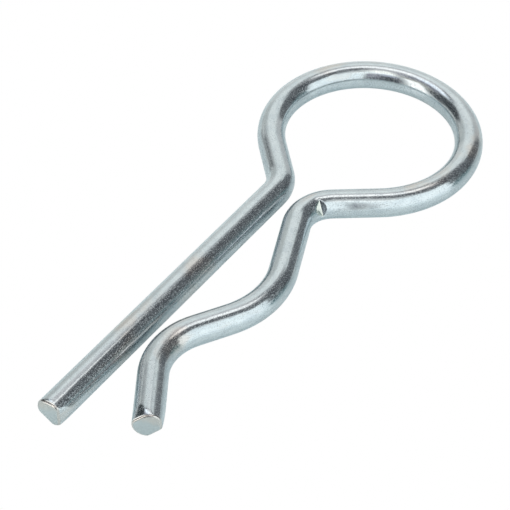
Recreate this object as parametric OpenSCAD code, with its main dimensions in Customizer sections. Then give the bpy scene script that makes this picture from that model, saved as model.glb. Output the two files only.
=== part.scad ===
// R clip for a hitch pin: one length of round spring wire, bent in one plane.
// Millimetres. The clip lies flat, with the middle of the wire in the plane Z = 0.
// The origin is on the axis of the straight leg, level with the middle of the shaft seat.
// +X runs along the straight leg to its free end, and +Y points to the sprung leg.

/* [Wire] */
// Diameter of the wire
wire_d = 6; // [4:0.5:8]
// How much a bend is drawn in all round the wire, by the pull of bending it
bend_thinning = 0.005; // [0.005:0.005:0.1]

/* [Straight leg] */
// From the middle of the shaft seat to the free end of the straight leg
leg_reach = 48; // [42:0.5:90]
// Inside radius of the bend between the straight leg and the eye
leg_bend_r = 5.3; // [2:0.1:12]
// Straight length of wire between that bend and the eye
leg_to_eye = 9.5; // [4:0.1:20]

/* [Eye] */
// Inside diameter of the eye
eye_d = 36.5; // [24:0.5:60]
// From the axis of the straight leg across to the centre of the eye
eye_side = 6.5; // [0:0.1:12]
// Straight length of wire between the eye and the neck
eye_to_neck = 9.8; // [4:0.1:20]

/* [Neck] */
// Clear gap between the two legs at the neck, where the sprung leg first comes down to the straight one
neck_gap = 2.4; // [0.5:0.1:5]
// Inside radius of the neck's bend
neck_bend_r = 5.1; // [2:0.1:12]
// Straight length of wire between the neck and the shaft seat
neck_to_seat = 13.7; // [4:0.1:30]

/* [Shaft seat] */
// Diameter of the shaft that the clip locks: the straight leg goes through the middle of it
shaft_d = 25.7; // [19:0.1:40]
// Inside radius of the bend that rests on the shaft
seat_r = 15.9; // [8:0.1:25]
// Straight length of wire between the shaft seat and the lip's bend
seat_to_lip = 7.4; // [2:0.1:20]

/* [Lip] */
// Clear gap between the two legs at the lip's bend
lip_gap = 1.7; // [0.5:0.1:5]
// Inside radius of the lip's bend
lip_bend_r = 9.9; // [4:0.1:20]
// Angle at which the lip stands away from the straight leg, in degrees
lip_flare = 32.5; // [10:0.5:70]
// Straight length of the lip beyond its bend
lip_len = 12.6; // [5:0.1:25]

/* [Cropped ends] */
// From the middle of the wire to each of the two flats that the shear pressed on an end
crop_half = 2.3; // [1.2:0.1:2.8]
// How far the flats run back from the end face
crop_len = 2.6; // [1:0.1:4]
// Turn of the flats round the wire, in degrees
crop_turn = 131; // [0:1:180]
// Radius of the rolled rim round an end face
rim_r = 0.35; // [0.1:0.05:0.8]

/* [Tool mark] */
// Depth of the nick that the bending tool left in the neck
mark_depth = 0.6; // [0.2:0.05:1]
// Angle between the two faces of the nick, in degrees
mark_angle = 112; // [80:1:120]
// Place of the nick along the neck's bend, in degrees from the bend's eye end
mark_at = 30; // [10:1:60]
// Turn of the nick round the wire, in degrees from the inside of the bend up to the top
mark_turn = 40; // [0:1:90]

/* [Hidden] */
$fn = 96;

wire_r = wire_d / 2;
zinc = [0.74, 0.77, 0.79];

// Height of the nick's cutter, enough to clear the curved inside of the bend
nick_h = 1.7 * mark_depth;

// How far the end of a straight goes into the bend that it meets
joint_lap = 0.02;

// How far the round of a rim stands out past the wire, so that it ends in two slight edges
rim_edge = 0.02;

// The middle of the wire is a row of bends joined by straights, which are the common tangents
// of two bends that turn opposite ways. It is walked from the free end of the straight leg to
// the free end of the lip. Radii are to the middle of the wire.
LEFT = 1;
RIGHT = -1;
leg_r = leg_bend_r + wire_r;
eye_r = eye_d / 2 + wire_r;
neck_r = neck_bend_r + wire_r;
seat_mid_r = seat_r + wire_r;
lip_r = lip_bend_r + wire_r;

// Height of each bend's centre over the axis of the straight leg
leg_y = -leg_r;
neck_y = wire_d + neck_gap + neck_r;
seat_y = shaft_d / 2 + wire_r - seat_mid_r;
lip_y = wire_d + lip_gap + lip_r;

// How far apart along X two bends lie that turn opposite ways, from the straight between them
function spacing(straight, r_a, r_b, y_a, y_b) =
    sqrt(pow(straight, 2) + pow(r_a + r_b, 2) - pow(y_a - y_b, 2));

neck_x = -spacing(neck_to_seat, neck_r, seat_mid_r, neck_y, seat_y);
eye_x = neck_x - spacing(eye_to_neck, eye_r, neck_r, eye_side, neck_y);
leg_x = eye_x + spacing(leg_to_eye, leg_r, eye_r, leg_y, eye_side);
lip_x = spacing(seat_to_lip, seat_mid_r, lip_r, seat_y, lip_y);

// Each bend is [centre, radius, turn]
leg_bend = [[leg_x, leg_y], leg_r, LEFT];
eye = [[eye_x, eye_side], eye_r, RIGHT];
neck = [[neck_x, neck_y], neck_r, LEFT];
seat = [[0, seat_y], seat_mid_r, RIGHT];
lip = [[lip_x, lip_y], lip_r, LEFT];
bends = [leg_bend, eye, neck, seat, lip];
last = len(bends) - 1;

// Heading, in degrees, of the straight that leaves bend a and enters bend b
function tangent_heading(a, b) =
    let (across = b[0] - a[0])
    atan2(across.y, across.x) + asin((a[2] * a[1] - b[2] * b[1]) / norm(across));

// Heading of each straight, from the straight leg to the lip
leg_heading = 180;
headings = [
    leg_heading,
    for (i = [1 : last]) tangent_heading(bends[i - 1], bends[i]),
    lip_flare
];

// Point of a bend at which the wire has a given heading
function bend_point(bend, heading) =
    bend[0] + bend[2] * bend[1] * [sin(heading), -cos(heading)];

// Angle that bend i turns through, from 0 to 360
function turned_at(i) =
    let (turned = bends[i][2] * (headings[i + 1] - headings[i]))
    turned - 360 * floor(turned / 360);

leg_tip = [leg_reach, 0];
lip_tip = bend_point(lip, lip_flare) + lip_len * [cos(lip_flare), sin(lip_flare)];

// A straight stretch of wire between two points, with how far each end goes into a bend
module straight_wire(from, to, lap_from = joint_lap, lap_to = joint_lap) {
    run = to - from;
    translate([from.x, from.y, 0])
        rotate([0, 90, atan2(run.y, run.x)])
            translate([0, 0, -lap_from])
                cylinder(h = norm(run) + lap_from + lap_to, r = wire_r);
}

// A bent stretch of wire
module bent_wire(i) {
    bend = bends[i];
    start = bend[2] == LEFT ? headings[i] - 90 : headings[i + 1] + 90;
    translate([bend[0].x, bend[0].y, 0])
        rotate([0, 0, start])
            rotate_extrude(angle = turned_at(i))
                translate([bend[1], 0])
                    circle(r = wire_r - bend_thinning);
}

// The whole wire with square, sharp ends
module bare_wire() {
    straight_wire(leg_tip, bend_point(leg_bend, leg_heading), lap_from = 0);
    for (i = [0 : last])
        bent_wire(i);
    for (i = [1 : last])
        straight_wire(bend_point(bends[i - 1], headings[i]), bend_point(bends[i], headings[i]));
    straight_wire(bend_point(lip, lip_flare), lip_tip, lap_to = 0);
}

// What one of the two pressed flats takes off an end, whose face is at X = 0
module pressed_flat() {
    slope = atan((wire_r - crop_half) / crop_len);
    translate([0, crop_half, 0])
        rotate([0, 0, -slope])
            translate([-2 * crop_len, 0, -wire_d])
                cube([3 * crop_len, wire_d, 2 * wire_d]);
}

// What the rolled rim takes off the edge of the same face
module rolled_rim() {
    rotate([0, 90, 0])
        rotate_extrude()
            translate([wire_r - rim_r + rim_edge, rim_edge - rim_r])
                difference() {
                    square(2 * rim_r);
                    circle(r = rim_r);
                }
}

// What cropping takes off an end of the wire
module cropped_end(tip, heading) {
    translate([tip.x, tip.y, 0])
        rotate([0, 0, heading]) {
            for (side = [0, 180])
                rotate([crop_turn + side, 0, 0])
                    pressed_flat();
            rolled_rim();
        }
}

// The nick of the bending tool: a short V across the wire, on the upper inside of the neck
module tool_mark() {
    heading = headings[2] + mark_at;
    place = bend_point(neck, heading);
    half_w = nick_h * tan(mark_angle / 2);
    translate([place.x, place.y, 0])
        rotate([mark_turn, 0, heading])
            translate([0, wire_r - mark_depth, 0])
                linear_extrude(height = wire_d, center = true)
                    polygon([[0, 0], [half_w, nick_h], [-half_w, nick_h]]);
}

module wire_clip() {
    color(zinc)
        difference() {
            bare_wire();
            cropped_end(leg_tip, 0);
            cropped_end(lip_tip, lip_flare);
            tool_mark();
        }
}

wire_clip();
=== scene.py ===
"""Looks of the R clip: the bent wire as one fine mesh, its zinc plating, a white studio and the camera.

Lengths are in millimetres, and MM turns them into Blender's metres. The bent form uses the same
driving sizes and the same walk along the wire as the CAD model, in the same frame.
"""
import math

import bpy
import numpy as np
from mathutils import Matrix, Vector


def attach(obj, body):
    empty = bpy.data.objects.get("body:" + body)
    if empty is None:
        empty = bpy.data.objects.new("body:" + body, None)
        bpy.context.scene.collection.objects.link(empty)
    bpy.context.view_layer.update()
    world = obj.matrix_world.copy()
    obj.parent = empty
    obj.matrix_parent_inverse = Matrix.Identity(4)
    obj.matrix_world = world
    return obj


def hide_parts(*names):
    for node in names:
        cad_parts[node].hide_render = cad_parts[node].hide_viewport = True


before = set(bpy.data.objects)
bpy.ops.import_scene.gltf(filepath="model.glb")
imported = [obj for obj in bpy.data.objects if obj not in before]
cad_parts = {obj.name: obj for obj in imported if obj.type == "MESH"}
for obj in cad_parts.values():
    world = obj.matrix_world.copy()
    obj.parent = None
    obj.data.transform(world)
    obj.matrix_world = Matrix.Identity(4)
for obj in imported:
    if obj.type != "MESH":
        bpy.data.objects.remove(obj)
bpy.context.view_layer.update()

MM = 0.001

# The bent form, with the names and sizes that the CAD model has
WIRE_D = 6.0
LEG_REACH = 48.0
LEG_BEND_R = 5.3
LEG_TO_EYE = 9.5
EYE_D = 36.5
EYE_SIDE = 6.5
EYE_TO_NECK = 9.8
NECK_GAP = 2.4
NECK_BEND_R = 5.1
NECK_TO_SEAT = 13.7
SHAFT_D = 25.7
SEAT_R = 15.9
SEAT_TO_LIP = 7.4
LIP_GAP = 1.7
LIP_BEND_R = 9.9
LIP_FLARE = 32.5
LIP_LEN = 12.6

WIRE_R = WIRE_D / 2
LEFT = 1
RIGHT = -1

# Heading in degrees of the straight leg, and the neck's place in the row of bends
LEG_HEADING = 180.0
NECK = 2

# Radius of the rolled rim round an end face, a little larger than in the CAD model
RIM_R = 0.4

# The pressed flats of each end, as (angle round the wire, distance from its middle, length). The
# shear left two main ones on each, which the CAD model has as well, and some slighter ones. Their
# edges are rounded over the width FLAT_BLEND.
LEG_FLATS = [(180.0, 2.1, 2.8), (299.0, 2.35, 2.4), (84.0, 2.62, 0.5)]
LIP_FLATS = [(309.0, 2.35, 2.4), (0.0, 2.6, 2.4), (127.0, 2.45, 1.9), (101.0, 2.62, 1.0)]
FLAT_BLEND = 0.4

# Slight dents, one in the straight before the neck and one at the nick's upper end. Each is
# (place along the wire, angle round it, reach along the wire, reach round it, depth).
DENTS = [(198.4, 31.0, 3.0, 0.7, 0.12), (205.2, 64.0, 1.0, 0.9, 0.12)]

# The nick in the neck's bend: its depth, its place in degrees from the bend's eye end, and its turn
# round the wire from the inside of the bend up to the top. It is deeper and lower than in the CAD
# model, and its face towards the eye is the steeper one. Then come the angles of both faces to the
# wire's section, how far its bottom is moved along the wire, and how rounded its edges are.
MARK_DEPTH = 0.72
MARK_AT = 30.0
MARK_TURN = 34.0
STEEP_FACE = 49.0
SHALLOW_FACE = 67.0
MARK_SHIFT = -0.8
MARK_BLEND = 0.16

# Depth of cut at which the nick's shallow face counts as fully rubbed, and carries its painted
# highlight in full
FULL_RUB = 0.1

# Cosine of the angle from the middle of a flat and of the nick, below which they take nothing off,
# and the radius that stands for that, well outside the wire
FLAT_LEAN = 0.15
MARK_LEAN = 0.2
OUT_OF_REACH = 2 * WIRE_R

# What the attribute cut_face holds on a cut face, on the round of its rim and on the rest
ON_FACE = 1.0
ON_RIM = 0.5
ON_WIRE = 0.0

# How finely the mesh follows the wire: points round it, its steps along it, how far the fine steps
# reach from an end and from the nick, and the steps over a rim and across an end face
AROUND = 128
STEP = 0.6
FINE_STEP = 0.07
FINE_AT_END = 3.5
FINE_AT_MARK = 3.0
RIM_STEPS = 5
FACE_RINGS = 9


def spacing(straight, r_a, r_b, y_a, y_b):
    """How far apart along X two bends lie that turn opposite ways, from the straight between them."""
    return math.sqrt(straight**2 + (r_a + r_b) ** 2 - (y_a - y_b) ** 2)


def bends():
    """The five bends in the wire's order, each (centre, radius of the wire's middle, turn)."""
    leg_r = LEG_BEND_R + WIRE_R
    eye_r = EYE_D / 2 + WIRE_R
    neck_r = NECK_BEND_R + WIRE_R
    seat_r = SEAT_R + WIRE_R
    lip_r = LIP_BEND_R + WIRE_R
    leg_y = -leg_r
    neck_y = WIRE_D + NECK_GAP + neck_r
    seat_y = SHAFT_D / 2 + WIRE_R - seat_r
    lip_y = WIRE_D + LIP_GAP + lip_r
    neck_x = -spacing(NECK_TO_SEAT, neck_r, seat_r, neck_y, seat_y)
    eye_x = neck_x - spacing(EYE_TO_NECK, eye_r, neck_r, EYE_SIDE, neck_y)
    leg_x = eye_x + spacing(LEG_TO_EYE, leg_r, eye_r, leg_y, EYE_SIDE)
    lip_x = spacing(SEAT_TO_LIP, seat_r, lip_r, seat_y, lip_y)
    return [
        (np.array([leg_x, leg_y]), leg_r, LEFT),
        (np.array([eye_x, EYE_SIDE]), eye_r, RIGHT),
        (np.array([neck_x, neck_y]), neck_r, LEFT),
        (np.array([0.0, seat_y]), seat_r, RIGHT),
        (np.array([lip_x, lip_y]), lip_r, LEFT),
    ]


def tangent_heading(a, b):
    """Heading in degrees of the straight that leaves bend a and enters bend b."""
    across = b[0] - a[0]
    lean = math.asin((a[2] * a[1] - b[2] * b[1]) / np.hypot(*across))
    return math.degrees(math.atan2(across[1], across[0]) + lean)


def unit(heading):
    """Unit vectors in the plane of the clip, from headings in degrees."""
    turn = np.radians(heading)
    return np.stack([np.cos(turn), np.sin(turn)], axis=-1)


def left_of(heading):
    """Unit vectors that point to the left of headings in degrees."""
    return unit(np.asarray(heading) + 90)


class Walk:
    """The wire's middle line, walked from the free end of the straight leg to that of the lip."""

    def __init__(self):
        rows = bends()
        headings = [LEG_HEADING]
        headings += [tangent_heading(a, b) for a, b in zip(rows, rows[1:])]
        headings.append(LIP_FLARE)
        self.parts = []
        self.length = 0.0
        self.bend_starts = []
        here = np.array([LEG_REACH, 0.0])
        for (centre, radius, turn), h_in, h_out in zip(rows, headings, headings[1:]):
            start = centre - turn * radius * left_of(h_in)
            self.add_straight(here, h_in, np.hypot(*(start - here)))
            sweep = (turn * (h_out - h_in)) % 360
            self.bend_starts.append(self.length)
            self.add_bend(centre, radius, turn, h_in, sweep)
            here = centre - turn * radius * left_of(h_out)
        self.add_straight(here, LIP_FLARE, LIP_LEN)

    def add_straight(self, start, heading, length):
        """A straight of so many millimetres, from a point on."""
        self.parts.append((self.length, "straight", (start, heading)))
        self.length += length

    def add_bend(self, centre, radius, turn, h_in, sweep):
        """A bend of so many degrees, entered with the heading h_in."""
        self.parts.append((self.length, "bend", (centre, radius, turn, h_in)))
        self.length += radius * math.radians(sweep)

    def at(self, s):
        """Points of the middle line, and its headings in degrees, at lengths s along the wire."""
        s = np.asarray(s, dtype=float)
        point = np.zeros(s.shape + (2,))
        heading = np.zeros(s.shape)
        begins = np.array([p[0] for p in self.parts])
        which = np.clip(np.searchsorted(begins, s, side="right") - 1, 0, len(begins) - 1)
        for i, (begin, kind, data) in enumerate(self.parts):
            here = which == i
            gone = s[here] - begin
            if kind == "straight":
                start, h = data
                heading[here] = h
                point[here] = start + gone[:, None] * unit(h)
            else:
                centre, radius, turn, h_in = data
                h = h_in + turn * np.degrees(gone / radius)
                heading[here] = h
                point[here] = centre - turn * radius * left_of(h)
        return point, heading


def stations(walk, mark_s):
    """Lengths along the wire at which the mesh has a ring, closer at both ends and at the nick."""
    fine = [
        (0.0, FINE_AT_END),
        (mark_s - FINE_AT_MARK, mark_s + FINE_AT_MARK),
        (walk.length - FINE_AT_END, walk.length),
    ]
    out = []
    at = 0.0
    for low, high in fine:
        if low > at:
            out += list(np.linspace(at, low, math.ceil((low - at) / STEP), endpoint=False))
        out += list(np.linspace(low, high, math.ceil((high - low) / FINE_STEP), endpoint=False))
        at = high
    out.append(walk.length)
    return np.array(out)


def soft_min(a, b, blend):
    """The smaller of a and b, with the edge between them rounded over the width of blend."""
    part = np.clip(0.5 + 0.5 * (b - a) / blend, 0, 1)
    return b * (1 - part) + a * part - blend * part * (1 - part)


def flat_radius(from_face, angle, normal_angle, distance, length):
    """Radius of an end at which it meets a pressed flat that faces normal_angle."""
    half = distance + from_face * (WIRE_R - distance) / length
    lean = np.cos(np.radians(angle - normal_angle))
    return np.where(lean > FLAT_LEAN, half / np.maximum(lean, FLAT_LEAN), OUT_OF_REACH)


def section_radius(walk, s, angle, mark_s):
    """Radius of the surface at lengths s (a column) and section angles (a row), and its part rubbed
    bare, which also carries a painted highlight.
    """
    radius = np.full(np.broadcast(s, angle).shape, WIRE_R)
    for from_face, flats in ((s, LEG_FLATS), (walk.length - s, LIP_FLATS)):
        for flat in flats:
            radius = soft_min(radius, flat_radius(from_face, angle, *flat), FLAT_BLEND)
    for dent_s, dent_turn, length, width, depth in DENTS:
        aside = WIRE_R * np.radians(angle - dent_turn)
        radius -= depth * np.exp(-(((s - dent_s) / length) ** 2) - (aside / width) ** 2)
    neck_mid = NECK_BEND_R + WIRE_R
    inward = WIRE_R * np.cos(np.radians(angle))
    along = (s - mark_s - MARK_SHIFT) * (neck_mid - inward) / neck_mid
    facing = np.cos(np.radians(angle - MARK_TURN))
    half_angle = np.radians(np.where(along < 0, STEEP_FACE, SHALLOW_FACE))
    floor = WIRE_R - MARK_DEPTH + np.abs(along) / np.tan(half_angle)
    cut = np.where(facing > MARK_LEAN, floor / np.maximum(facing, MARK_LEAN), OUT_OF_REACH)
    rubbed_and_highlit = np.clip((radius - cut) / FULL_RUB, 0, 1) * (along > 0)
    return soft_min(radius, cut, MARK_BLEND), rubbed_and_highlit


def rim_value(back):
    """What the attribute cut_face holds on the ring of a rim that lies so far behind the face."""
    if back == 0:
        return ON_FACE
    return ON_RIM if back < RIM_R else ON_WIRE


def wire_rings(walk, mark_s, angle):
    """The rings from the middle of one end face over the whole wire to the middle of the other.

    Each is (length along the wire, radius at each angle, value of cut_face, value of the mask of the
    nick's face that is rubbed bare and carries a painted highlight).
    """
    s = stations(walk, mark_s)
    radius, rubbed_and_highlit = section_radius(walk, s[:, None], angle[None, :], mark_s)
    first = radius[0]
    last = radius[-1]
    turn = np.linspace(0, math.pi / 2, RIM_STEPS + 1)
    rim = list(zip(RIM_R * (1 - np.sin(turn)), RIM_R * (1 - np.cos(turn))))
    none = np.zeros(AROUND)
    rings = []
    for k in range(1, FACE_RINGS):
        rings.append((0.0, (first - RIM_R) * k / FACE_RINGS, ON_FACE, none))
    for inset, back in rim:
        rings.append((back, first - inset, rim_value(back), none))
    for station, row, worn_and_highlit in zip(s, radius, rubbed_and_highlit):
        if RIM_R < station < walk.length - RIM_R:
            rings.append((station, row, ON_WIRE, worn_and_highlit))
    for inset, back in reversed(rim):
        rings.append((walk.length - back, last - inset, rim_value(back), none))
    for k in reversed(range(1, FACE_RINGS)):
        rings.append((walk.length, (last - RIM_R) * k / FACE_RINGS, ON_FACE, none))
    return rings


def wire_faces(count):
    """Faces between so many rings, and fans that join the first and the last ring to the tips."""
    head = count * AROUND
    tail = head + 1
    end = head - AROUND
    faces = []
    for row in range(0, end, AROUND):
        for j in range(AROUND):
            k = (j + 1) % AROUND
            faces.append((row + j, row + k, row + AROUND + k, row + AROUND + j))
    for j in range(AROUND):
        k = (j + 1) % AROUND
        faces.append((head, k, j))
        faces.append((tail, end + j, end + k))
    return faces


def build_wire():
    """The whole wire as one mesh, with the straightened wire's coordinates kept on every point."""
    walk = Walk()
    mark_s = walk.bend_starts[NECK] + math.radians(MARK_AT) * (NECK_BEND_R + WIRE_R)
    angle = np.arange(AROUND) * 360 / AROUND
    rings = wire_rings(walk, mark_s, angle)
    ring_s, ring_r, ring_cut, ring_worn_and_highlit = (np.array(column) for column in zip(*rings))

    middle, heading = walk.at(ring_s)
    side = left_of(heading)
    across = ring_r * np.cos(np.radians(angle))
    up = ring_r * np.sin(np.radians(angle))
    points = np.zeros(ring_r.shape + (3,))
    points[..., :2] = middle[:, None, :] + across[..., None] * side[:, None, :]
    points[..., 2] = up
    unbent = np.stack([np.broadcast_to(ring_s[:, None], across.shape), across, up], axis=-1)

    tips = np.zeros((2, 3))
    tips[:, :2] = walk.at(np.array([0.0, walk.length]))[0]
    vertices = np.vstack([points.reshape(-1, 3), tips]) * MM
    unbent = np.vstack([unbent.reshape(-1, 3), [[0, 0, 0], [walk.length, 0, 0]]])
    cut = np.append(np.repeat(ring_cut, AROUND), [ON_FACE, ON_FACE])
    worn_and_highlit = np.append(ring_worn_and_highlit.ravel(), [0.0, 0.0])

    mesh = bpy.data.meshes.new("clip_wire")
    mesh.from_pydata(vertices.tolist(), [], wire_faces(len(rings)))
    mesh.shade_smooth()
    mesh.attributes.new("unbent", "FLOAT_VECTOR", "POINT").data.foreach_set("vector", unbent.ravel())
    mesh.attributes.new("cut_face", "FLOAT", "POINT").data.foreach_set("value", cut)
    mesh.attributes.new("rubbed_and_highlit", "FLOAT", "POINT").data.foreach_set("value", worn_and_highlit)
    mesh.update()
    wire = bpy.data.objects.new("clip_wire", mesh)
    bpy.context.scene.collection.objects.link(wire)
    return wire


class Nodes:
    """Short ways to add and join shader nodes."""

    def __init__(self, tree):
        self.tree = tree
        tree.nodes.clear()

    def add(self, kind, inputs=None, **settings):
        """A new node, with a value or a link for each of its inputs named here."""
        node = self.tree.nodes.new(kind)
        for name, value in settings.items():
            setattr(node, name, value)
        for key, value in (inputs or {}).items():
            if isinstance(value, bpy.types.NodeSocket):
                self.tree.links.new(value, node.inputs[key])
            else:
                node.inputs[key].default_value = value
        return node

    def math(self, operation, a, b=0.0, c=0.0):
        """The result of one operation on up to three values."""
        return self.add("ShaderNodeMath", {0: a, 1: b, 2: c}, operation=operation).outputs[0]

    def noise(self, place, scale, detail, roughness):
        """Noise from 0 to 1 over the points of place."""
        node = self.add(
            "ShaderNodeTexNoise",
            {"Vector": place, "Scale": scale, "Detail": detail, "Roughness": roughness},
        )
        return node.outputs["Fac"]

    def ramp(self, value, low, high):
        """value smoothly taken from low..high to 0..1."""
        node = self.add(
            "ShaderNodeMapRange",
            {"Value": value, "From Min": low, "From Max": high},
            interpolation_type="SMOOTHSTEP",
        )
        return node.outputs["Result"]

    def blend(self, part, a, b):
        """Colour a where part is 0 and colour b where it is 1."""
        node = self.add("ShaderNodeMix", data_type="RGBA")
        for name, value in (("Factor", part), ("A", a), ("B", b)):
            socket = next(i for i in node.inputs if i.name == name and i.enabled)
            if isinstance(value, bpy.types.NodeSocket):
                self.tree.links.new(value, socket)
            else:
                socket.default_value = value
        return next(o for o in node.outputs if o.enabled)


def colour(r, g, b):
    """An opaque colour, as a shader's sockets take it."""
    return (r, g, b, 1.0)


# The noises over the plating, as (scale per millimetre, detail, roughness), and how much drawing
# stretched all of them but the speckle
SPECKLE = (5.6, 0.6, 0.5)
WAVES = (1.1, 1.0, 0.5)
STREAKS = (0.8, 3.0, 0.65)
CLOUDS = (0.16, 3.0, 0.55)
DRAWN_STRETCH = 0.45

# Between which values of its noise each of these comes up
PALE_RANGE = (0.30, 0.66)
SPOT_RANGE = (0.50, 0.68)
WARM_RANGE = (0.56, 0.72)

# Between which values of cut_face an end face and its rim come up
FACE_RANGE = (0.6, 0.95)
RIM_RANGE = (0.1, 0.5)

# A cut face carries a painted reflection: cream towards the walk's left and the top, and blue below.
# How much each millimetre that way counts, how much the streaks count, and between which sums the
# painted cream comes up
PAINTED_CREAM_LEFT = 0.4
PAINTED_CREAM_UP = 0.9
PAINTED_CREAM_STREAKS = 2.5
PAINTED_CREAM_RANGE = (1.2, 3.4)

# The zinc's own colours: its bluish and its paler streaks, dull spots and warm clouds. Then the
# painted cream and blue reflections of a cut face, the rolled rim round it, and the face of the nick
# that is rubbed bright, whose near-white cream is partly bare metal and partly a painted highlight
ZINC_BLUE = (0.56, 0.61, 0.64)
ZINC_PALE = (0.645, 0.69, 0.71)
SPOT_TINT = (0.47, 0.51, 0.53)
WARM_TINT = (0.64, 0.62, 0.60)
# Painted reflections on a cut face: blue below, cream towards the top and left
FACE_PAINTED_BLUE_REFLECTION = (0.60, 0.65, 0.66)
FACE_PAINTED_CREAM_REFLECTION = (0.655, 0.64, 0.61)
RIM_TINT = (0.61, 0.59, 0.565)
# Partly the bare metal of a rubbed face, partly a painted highlight
RUBBED_AND_HIGHLIGHT_TINT = (0.96, 0.93, 0.84)

# How much the spots show of their own colour
SPOT_SHARE = 0.3

# Roughness of the plating, what a spot adds to it, the share of it that rubbing takes away, and the
# roughness of a cut face
PLATING_DULL = 0.12
SPOT_DULL = 0.34
RUB_SHINE = 0.8
FACE_DULL = 0.5

# Height in metres of the slight waves that drawing left
WAVE_HEIGHT = 0.000012


def zinc_plating():
    """Bright zinc over drawn wire: fine grain along the wire, a slight blue tint and dull cut ends."""
    material = bpy.data.materials.new("zinc_plated_wire")
    material.use_nodes = True
    n = Nodes(material.node_tree)
    place = n.add("ShaderNodeAttribute", attribute_name="unbent").outputs["Vector"]
    cut = n.add("ShaderNodeAttribute", attribute_name="cut_face").outputs["Fac"]
    rubbed_and_highlit = n.add("ShaderNodeAttribute", attribute_name="rubbed_and_highlit").outputs["Fac"]

    stretch = (DRAWN_STRETCH, 1.0, 1.0)
    drawn = n.add("ShaderNodeMapping", {"Vector": place, "Scale": stretch}).outputs["Vector"]
    waves = n.noise(drawn, *WAVES)
    streaks = n.noise(drawn, *STREAKS)
    spots = n.ramp(n.noise(place, *SPECKLE), *SPOT_RANGE)
    warm = n.ramp(n.noise(drawn, *CLOUDS), *WARM_RANGE)
    base = n.blend(n.ramp(streaks, *PALE_RANGE), colour(*ZINC_BLUE), colour(*ZINC_PALE))
    base = n.blend(n.math("MULTIPLY", spots, SPOT_SHARE), base, colour(*SPOT_TINT))
    base = n.blend(warm, base, colour(*WARM_TINT))

    face = n.ramp(cut, *FACE_RANGE)
    leftward, upward = n.add("ShaderNodeSeparateXYZ", {0: place}).outputs[1:3]
    aslant = n.math("MULTIPLY_ADD", leftward, PAINTED_CREAM_LEFT, n.math("MULTIPLY", upward, PAINTED_CREAM_UP))
    painted_cream_reflection = n.ramp(n.math("MULTIPLY_ADD", streaks, PAINTED_CREAM_STREAKS, aslant), *PAINTED_CREAM_RANGE)
    # Painted reflection: the cut face turns cream towards its top and left and blue below
    base = n.blend(face, base, n.blend(painted_cream_reflection, colour(*FACE_PAINTED_BLUE_REFLECTION), colour(*FACE_PAINTED_CREAM_REFLECTION)))
    rim = n.math("MULTIPLY", n.ramp(cut, *RIM_RANGE), n.math("SUBTRACT", 1.0, face))
    base = n.blend(rim, base, colour(*RIM_TINT))
    # The nick's rubbed face: bare metal, with a near-white cream that is partly a painted highlight
    base = n.blend(rubbed_and_highlit, base, colour(*RUBBED_AND_HIGHLIGHT_TINT))

    dull = n.math("MULTIPLY_ADD", spots, SPOT_DULL, PLATING_DULL)
    dull = n.math("MULTIPLY", dull, n.math("SUBTRACT", 1.0, n.math("MULTIPLY", rubbed_and_highlit, RUB_SHINE)))
    dull = n.math("MAXIMUM", dull, n.math("MULTIPLY", face, FACE_DULL))
    wavy = {"Height": waves, "Strength": 1.0, "Distance": WAVE_HEIGHT}
    bump = n.add("ShaderNodeBump", wavy).outputs["Normal"]
    shader = n.add(
        "ShaderNodeBsdfPrincipled",
        {"Base Color": base, "Roughness": dull, "Normal": bump, "Metallic": 1.0},
    )
    n.add("ShaderNodeOutputMaterial", {"Surface": shader.outputs[0]})
    return material


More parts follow.
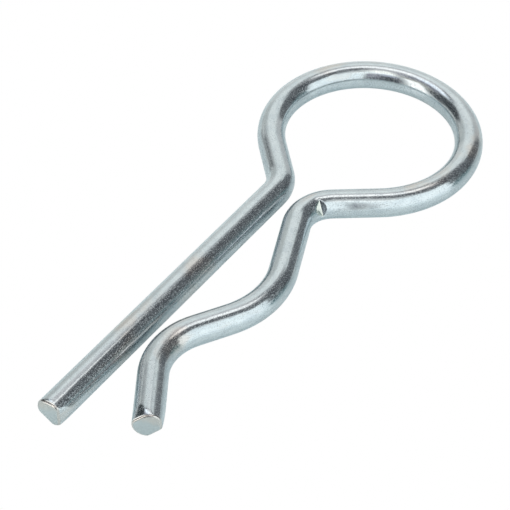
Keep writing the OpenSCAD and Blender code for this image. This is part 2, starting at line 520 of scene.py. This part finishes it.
# The studio round the clip. A panel on the walls has the azimuth and elevation of its middle, and
# one on the ceiling the degrees from the zenith towards +X and towards +Y. Then come its half
# width and half height, its turn, and how soft its sides and its top and bottom are, all in
# degrees, and its light as the zinc shows it. Later panels lie on top of earlier ones.
BACKDROP = (0.43, 0.455, 0.45)
WALL = "wall"
CEILING = "ceiling"
PANELS = [
    # The pale back wall, and the ceiling with its white and its dim patches
    (WALL, -146, 8, 60, 16, 0, 30, 14, (0.545, 0.555, 0.545)),
    (WALL, -150, 40, 36, 14, 0, 20, 8, (0.635, 0.665, 0.655)),
    (WALL, -114, 10, 11, 22, 0, 6, 10, (0.40, 0.42, 0.41)),
    (WALL, 180, 14, 13, 16, 0, 9, 9, (0.40, 0.41, 0.41)),
    (CEILING, 0, 0, 33, 33, 0, 4, 4, (0.42, 0.41, 0.42)),
    (CEILING, -32, -30, 4, 7, 35, 2, 3, (0.63, 0.65, 0.645)),
    (CEILING, -40, -19, 6, 7, 0, 2, 4, (0.65, 0.675, 0.665)),
    (CEILING, -14.5, -10, 9.5, 21, 22, 3, 4, (1.02, 1.00, 0.98)),
    (CEILING, -3, -30, 10, 9, 0, 3, 3, (0.92, 0.97, 1.04)),
    (CEILING, 16, -26, 12, 17, 0, 5, 6, (0.20, 0.20, 0.23)),
    (CEILING, 30, -32, 6, 13, 35, 5, 5, (0.32, 0.315, 0.28)),
    # The big blue-white panel, dimmer towards the floor
    (WALL, 82.7, 27, 39.3, 36, 0, 1.6, 3, (0.79, 0.85, 0.86)),
    (WALL, 84, 0, 38, 6, 0, 6, 7, (0.70, 0.76, 0.78)),
    # The cream patch of ceiling, blue-white towards the big panel and dim on one side
    (CEILING, 27, 8, 17, 11, 0, 6, 4, (1.06, 1.04, 0.97)),
    (CEILING, 22, 23, 11, 8, 0, 5, 4, (0.88, 0.91, 0.90)),
    (CEILING, 42, 14, 9, 13, 0, 4, 4, (0.84, 0.90, 0.95)),
    (CEILING, 33, -16, 9, 8, -20, 5, 5, (0.33, 0.32, 0.29)),
    # The dark wedge between the big panel and the white ceiling
    (CEILING, 6, 21, 12, 9, -35, 6, 4, (0.42, 0.43, 0.43)),
    (CEILING, -11.7, 18.5, 19, 11.3, -55, 4, 2.7, (0.095, 0.10, 0.108)),
    (CEILING, -24, 28, 9, 9, 0, 3, 3, (0.11, 0.118, 0.125)),
    # The dark column with its lavender top, and the bright one beside it
    (WALL, 17, 19, 23, 29, 0, 3, 6, (0.10, 0.105, 0.12)),
    (WALL, 9, 12, 9, 22, 0, 6, 8, (0.045, 0.05, 0.055)),
    (WALL, 9, 42, 10, 6, 0, 6, 5, (0.38, 0.40, 0.48)),
    (WALL, 31, 34, 9, 14, 0, 4, 7, (0.25, 0.25, 0.28)),
    (WALL, -26, 17, 12.5, 33, 0, 3, 4, (1.18, 1.15, 1.10)),
    # The dark side of the studio on the left, with its thin tip
    (CEILING, -12.5, -58, 8, 10, 6, 4, 4, (0.37, 0.38, 0.38)),
    (CEILING, 18, -54, 32, 13, 6, 4, 2.5, (0.04, 0.045, 0.052)),
    (CEILING, 34, -68, 12, 6, 0, 4, 4, (0.08, 0.085, 0.09)),
    (CEILING, 6, -64, 17, 15, 14, 3, 4, (0.035, 0.04, 0.043)),
    (CEILING, -16.5, -35, 11, 2.8, -43, 2, 2, (0.10, 0.105, 0.11)),
    (WALL, -99, 2, 5, 8, 0, 3, 4, (0.26, 0.275, 0.275)),
    # The dark side on the right, with a thin arch over the back wall and a small bright patch
    (CEILING, -39.5, 34, 11, 29, 0, 1, 4, (0.062, 0.066, 0.072)),
    (CEILING, -42, 38, 2.5, 22, -3, 2, 6, (0.15, 0.17, 0.18)),
    (CEILING, -37.5, 2, 7, 9, 0, 1.5, 2.5, (0.085, 0.09, 0.098)),
    (CEILING, -59.5, 29.8, 21, 20.5, -30, 4, 3, (0.10, 0.106, 0.113)),
    (CEILING, -53, 34, 9, 13, -15, 5, 6, (0.075, 0.08, 0.086)),
    (CEILING, -42.5, 76, 8.5, 14, 0, 2.5, 5, (0.10, 0.152, 0.163)),
    (WALL, 133, 4, 8, 17, 0, 5, 4, (0.105, 0.157, 0.165)),
    (CEILING, -43, 52, 4, 11, -12, 3, 6, (0.11, 0.13, 0.135)),
    (CEILING, -54, 48, 6, 8, -15, 3, 4, (0.055, 0.06, 0.066)),
    (CEILING, -38, 41, 2.5, 12, -5, 1.5, 3, (0.06, 0.065, 0.07)),
    (CEILING, -36.5, -8, 5.5, 6, 0, 1.5, 3.5, (0.27, 0.28, 0.285)),
    (CEILING, -29.3, 2, 2.4, 4, 0, 1, 1.5, (0.95, 0.93, 0.90)),
]

# The share of the light that the zinc gives back
ZINC_SHARE = 0.625


def turned(n, over, up, turn):
    """The offsets over and up, seen along a panel's own sides when it is turned by so many degrees."""
    if turn == 0:
        return over, up
    c = math.cos(math.radians(turn))
    s = math.sin(math.radians(turn))
    along = n.math("MULTIPLY_ADD", over, c, n.math("MULTIPLY", up, s))
    beside = n.math("MULTIPLY_ADD", up, c, n.math("MULTIPLY", over, -s))
    return along, beside


def studio():
    """Distant soft panels for the wire to reflect. The camera itself sees plain white instead."""
    world = bpy.data.worlds.new("studio")
    bpy.context.scene.world = world
    world.use_nodes = True
    n = Nodes(world.node_tree)
    direction = n.add("ShaderNodeTexCoord").outputs["Generated"]
    x, y, z = n.add("ShaderNodeSeparateXYZ", {0: direction}).outputs
    bearing = n.math("ARCTAN2", y, x)
    azimuth = n.math("DEGREES", bearing)
    elevation = n.math("DEGREES", n.math("ARCSINE", z))
    from_zenith = n.math("SUBTRACT", 90, elevation)
    to_x = n.math("MULTIPLY", from_zenith, n.math("COSINE", bearing))
    to_y = n.math("MULTIPLY", from_zenith, n.math("SINE", bearing))
    light = colour(*BACKDROP)
    for where, over, up, half_w, half_h, turn, soft_w, soft_h, tint in PANELS:
        if where == WALL:
            off_over = n.math("WRAP", n.math("SUBTRACT", azimuth, over), 180, -180)
            off_up = n.math("SUBTRACT", elevation, up)
        else:
            off_over = n.math("SUBTRACT", to_x, over)
            off_up = n.math("SUBTRACT", to_y, up)
        off_over, off_up = turned(n, off_over, off_up, turn)
        beside = n.ramp(n.math("ABSOLUTE", off_over), half_w + soft_w, half_w - soft_w)
        above = n.ramp(n.math("ABSOLUTE", off_up), half_h + soft_h, half_h - soft_h)
        light = n.blend(n.math("MULTIPLY", beside, above), light, colour(*tint))
    seen = n.add("ShaderNodeLightPath").outputs["Is Camera Ray"]
    light = n.blend(seen, light, colour(*[ZINC_SHARE] * 3))
    background = n.add("ShaderNodeBackground", {"Color": light, "Strength": 1 / ZINC_SHARE})
    n.add("ShaderNodeOutputWorld", {"Surface": background.outputs[0]})


# The floor: its side in metres, its own colour, its roughness and its sheen, and the light that is
# added to what it gives back
FLOOR_SIDE = 3.0
FLOOR_WHITE = (0.85, 0.90, 0.91)
FLOOR_DULL = 0.1
FLOOR_SHEEN = 0.9
FLOOR_GLOW = (0.11, 0.145, 0.147)


def lay_floor():
    """A white floor, which the camera sees as evenly white and the wire as a lit, smooth board."""
    half = FLOOR_SIDE / 2
    low = -WIRE_R * MM
    mesh = bpy.data.meshes.new("floor")
    corners = [(-half, -half, low), (half, -half, low), (half, half, low), (-half, half, low)]
    mesh.from_pydata(corners, [], [(0, 1, 2, 3)])
    floor = bpy.data.objects.new("floor", mesh)
    bpy.context.scene.collection.objects.link(floor)
    material = bpy.data.materials.new("floor_white")
    material.use_nodes = True
    n = Nodes(material.node_tree)
    board = n.add(
        "ShaderNodeBsdfPrincipled",
        {
            "Base Color": colour(*FLOOR_WHITE),
            "Roughness": FLOOR_DULL,
            "Specular IOR Level": FLOOR_SHEEN,
        },
    )
    glow = n.add("ShaderNodeEmission", {"Color": colour(*FLOOR_GLOW), "Strength": 1.0})
    lit = n.add("ShaderNodeAddShader", {0: board.outputs[0], 1: glow.outputs[0]})
    white = n.add("ShaderNodeEmission", {"Color": colour(1, 1, 1), "Strength": 1.0})
    seen = n.add("ShaderNodeLightPath").outputs["Is Camera Ray"]
    mix = n.add("ShaderNodeMixShader", {0: seen, 1: lit.outputs[0], 2: white.outputs[0]})
    n.add("ShaderNodeOutputMaterial", {"Surface": mix.outputs[0]})
    mesh.materials.append(material)


# The camera, as it stood for the photograph: its place, then the direction in which it stands and its
# roll in degrees, its lens and the width of its sensor in millimetres, and its range in metres
CAMERA_AT = Vector((200.33, 147.36, 244.73)) * MM
CAMERA_AZIMUTH = 33.96
CAMERA_ELEVATION = 44.27
CAMERA_ROLL = 0.93
LENS = 123.54
SENSOR = 36.0
NEAR = 0.01
FAR = 20.0


def place_camera():
    """The camera of the photograph, with its roll about the way that it looks."""
    az = math.radians(CAMERA_AZIMUTH)
    el = math.radians(CAMERA_ELEVATION)
    back = Vector((math.cos(el) * math.cos(az), math.cos(el) * math.sin(az), math.sin(el)))
    right = (-back).cross(Vector((0, 0, 1))).normalized()
    down = (-back).cross(right)
    roll = math.radians(CAMERA_ROLL)
    across = math.cos(roll) * right - math.sin(roll) * down
    upward = -(math.sin(roll) * right + math.cos(roll) * down)
    turn = Matrix((across, upward, back)).transposed().to_4x4()
    data = bpy.data.cameras.new("camera")
    data.lens = LENS
    data.sensor_width = SENSOR
    data.clip_start = NEAR
    data.clip_end = FAR
    camera = bpy.data.objects.new("camera", data)
    camera.matrix_world = Matrix.Translation(CAMERA_AT) @ turn
    bpy.context.scene.collection.objects.link(camera)
    bpy.context.scene.camera = camera


def plain_view():
    """Colours straight to the screen, as a product photograph has them."""
    view = bpy.context.scene.view_settings
    view.view_transform = "Standard"
    view.look = "None"
    view.exposure = 0
    view.gamma = 1


wire = build_wire()
wire.data.materials.append(zinc_plating())
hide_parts("wire_clip")
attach(wire, "root")
studio()
lay_floor()
place_camera()
plain_view()
